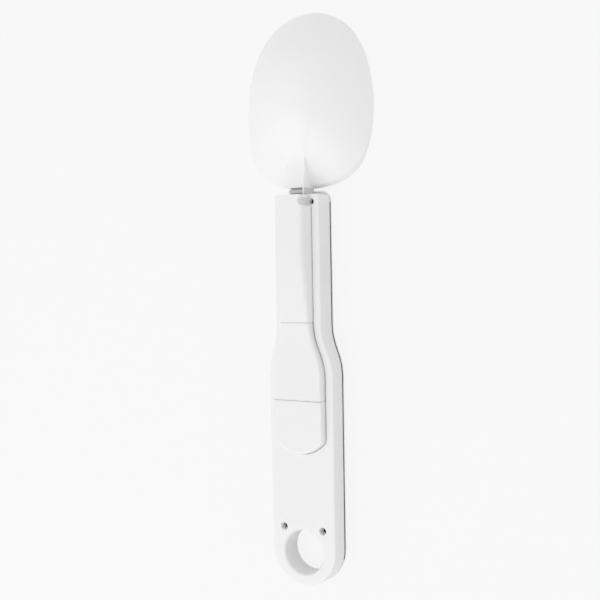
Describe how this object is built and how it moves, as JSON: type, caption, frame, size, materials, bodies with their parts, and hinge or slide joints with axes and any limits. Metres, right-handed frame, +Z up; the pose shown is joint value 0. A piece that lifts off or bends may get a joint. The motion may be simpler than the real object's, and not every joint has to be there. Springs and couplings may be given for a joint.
{
  "type": "digital measuring spoon",
  "caption": "Handheld scale shaped as a spoon: a white oval bowl on a slim handle with a load cell, display, buttons, coin battery bay and hanging hole.",
  "frame": {"origin": "centre of the bounding box at the level of the table, under the middle of the spoon as it lies face down", "axes": "+Y towards the bowl's tip, +Z up out of the back, +X across the handle"},
  "size_m": [0.0598, 0.232, 0.0195],
  "materials": {
    "bowl_plastic": "smooth white moulded plastic, satin to gloss",
    "rear_plastic": "white moulded plastic, fine satin",
    "cover_plastic": "white moulded plastic, fine satin",
    "front_plastic": "white moulded plastic, fine satin",
    "button_plastic": "white moulded plastic caps",
    "lens": "clear acrylic window",
    "lcd": "grey-green liquid crystal glass",
    "grey_rubber": "grey conductive rubber strip",
    "circuit_board": "green solder mask",
    "epoxy": "black epoxy drop",
    "switch_plastic": "dark grey switch housing",
    "steel": "zinc-plated screws",
    "coin_steel": "nickel-plated can",
    "contact_metal": "nickel-plated spring strip",
    "load_cell_aluminium": "milled aluminium",
    "gauge_coat": "white silicone coat",
    "ribbon": "grey flat ribbon",
    "black_steel": "blackened steel screws"
  },
  "bodies": {
    "housing": {"spoon_bowl": "bowl_plastic", "rear_shell": "rear_plastic", "spine_cover": "cover_plastic", "middle_plate": "cover_plastic", "front_shell": "front_plastic", "display_lens": "lens", "lcd": "lcd", "zebra_upper": "grey_rubber", "zebra_lower": "grey_rubber", "circuit_board": "circuit_board", "chip_blob": "epoxy", "board_screw_left": "steel", "board_screw_right": "steel", "tact_switch_power": "switch_plastic", "tact_switch_tare": "switch_plastic", "tact_switch_unit": "switch_plastic", "contact_negative": "contact_metal", "contact_positive": "contact_metal", "load_cell": "load_cell_aluminium", "gauge_coat": "gauge_coat", "gauge_ribbon": "ribbon", "cell_screw_1": "steel", "cell_screw_2": "steel", "bowl_screw_1": "steel", "bowl_screw_2": "steel", "neck_screw_left": "black_steel", "neck_screw_right": "black_steel", "tail_screw_left": "black_steel", "tail_screw_right": "black_steel"},
    "battery_cover": {"battery_cover": "cover_plastic"},
    "coin_cell": {"coin_cell": "coin_steel"},
    "button_power": {"button_power": "button_plastic"},
    "button_tare": {"button_tare": "button_plastic"},
    "button_unit": {"button_unit": "button_plastic"}
  },
  "joints": [
    {"name": "battery_cover_lift", "type": "slide", "parent": "housing", "child": "battery_cover", "axis": [0, 0, 1], "range_m": [0, 0.03]},
    {"name": "coin_cell_lift", "type": "slide", "parent": "housing", "child": "coin_cell", "axis": [0, 0, 1], "range_m": [0, 0.015]},
    {"name": "button_power_press", "type": "slide", "parent": "housing", "child": "button_power", "axis": [0, 0, 1], "range_m": [0, 0.0003], "stiffness_N_per_m": 1200},
    {"name": "button_tare_press", "type": "slide", "parent": "housing", "child": "button_tare", "axis": [0, 0, 1], "range_m": [0, 0.0003], "stiffness_N_per_m": 1200},
    {"name": "button_unit_press", "type": "slide", "parent": "housing", "child": "button_unit", "axis": [0, 0, 1], "range_m": [0, 0.0003], "stiffness_N_per_m": 1200}
  ],
  "couplings": [
    {"joint": "coin_cell_lift", "follows": "battery_cover_lift", "ratio": 0.5}
  ]
}
